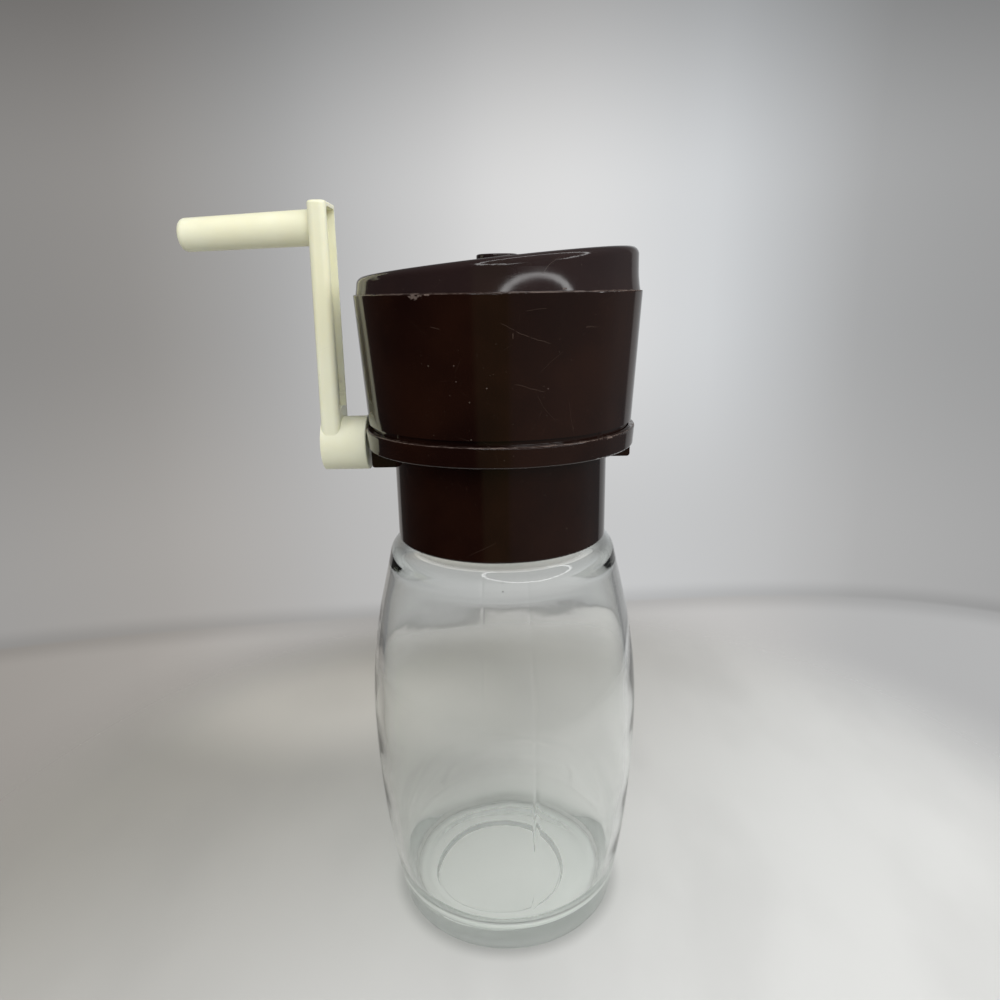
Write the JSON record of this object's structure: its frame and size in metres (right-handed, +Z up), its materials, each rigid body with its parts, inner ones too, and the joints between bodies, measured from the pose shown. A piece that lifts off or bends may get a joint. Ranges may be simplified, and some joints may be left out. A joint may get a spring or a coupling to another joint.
{
  "type": "spice mill",
  "caption": "Hand cranked spice mill: a screwed-on plastic head with hopper, slanted lid and toothed rotor between combs, on a barrel shaped glass jar that catches what it grinds.",
  "frame": {"origin": "middle of the jar's base, on the surface that the mill stands on", "axes": "+Z up along the jar's axis, -X towards the crank along the shaft, -Y towards the front that the picture shows"},
  "size_m": [0.1213, 0.0786, 0.2053],
  "materials": {
    "glass": "clear pressed glass with a grey green tint",
    "seal": "soft matt sealing ring",
    "brown_plastic": "very dark brown, glossy, with light wear at the edges",
    "ivory_plastic": "pale ivory, softly glossy",
    "bearing_plastic": "plain off-white bearing plastic",
    "steel": "stamped and turned bright steel",
    "screw_steel": "zinc plated steel"
  },
  "bodies": {
    "jar": {"glass_jar": "glass"},
    "seal": {"jar_gasket": "seal"},
    "head": {"screw_collar": "brown_plastic", "hopper": "brown_plastic", "left_bush": "bearing_plastic", "right_bush": "bearing_plastic", "coarse_comb": "steel", "fine_comb": "steel", "comb_screws": "screw_steel", "hopper_screws": "screw_steel"},
    "rotor": {"crank": "ivory_plastic", "crank_screw": "screw_steel", "crank_washer": "bearing_plastic", "drive_shaft": "steel", "rotor_clip": "steel", "rotor_blade_1": "steel", "rotor_blade_2": "steel", "rotor_blade_3": "steel", "rotor_blade_4": "steel", "rotor_blade_5": "steel", "rotor_blade_6": "steel", "rotor_blade_7": "steel", "rotor_blade_8": "steel", "rotor_spacer_1": "steel", "rotor_spacer_2": "steel", "rotor_spacer_3": "steel", "rotor_spacer_4": "steel", "rotor_spacer_5": "steel", "rotor_spacer_6": "steel", "rotor_spacer_7": "steel"},
    "cap": {"lid": "brown_plastic"}
  },
  "joints": [
    {"name": "head_lift", "type": "slide", "parent": "jar", "child": "seal", "axis": [0, 0, 1], "range_m": [0, 0.00526]},
    {"name": "head_unscrew", "type": "hinge", "parent": "seal", "child": "head", "pos_m": [0, 0, 0.1296], "axis": [0, 0, 1], "range_deg": [0, 450]},
    {"name": "crank_turn", "type": "hinge", "parent": "head", "child": "rotor", "pos_m": [0, 0, 0.1426], "axis": [-1, 0, 0], "continuous": true},
    {"name": "lid_lift", "type": "slide", "parent": "head", "child": "cap", "axis": [0, 0, 1], "range_m": [0, 0.04]}
  ],
  "couplings": [
    {"joint": "head_lift", "follows": "head_unscrew", "m_per_rad": 0.00066845}
  ]
}
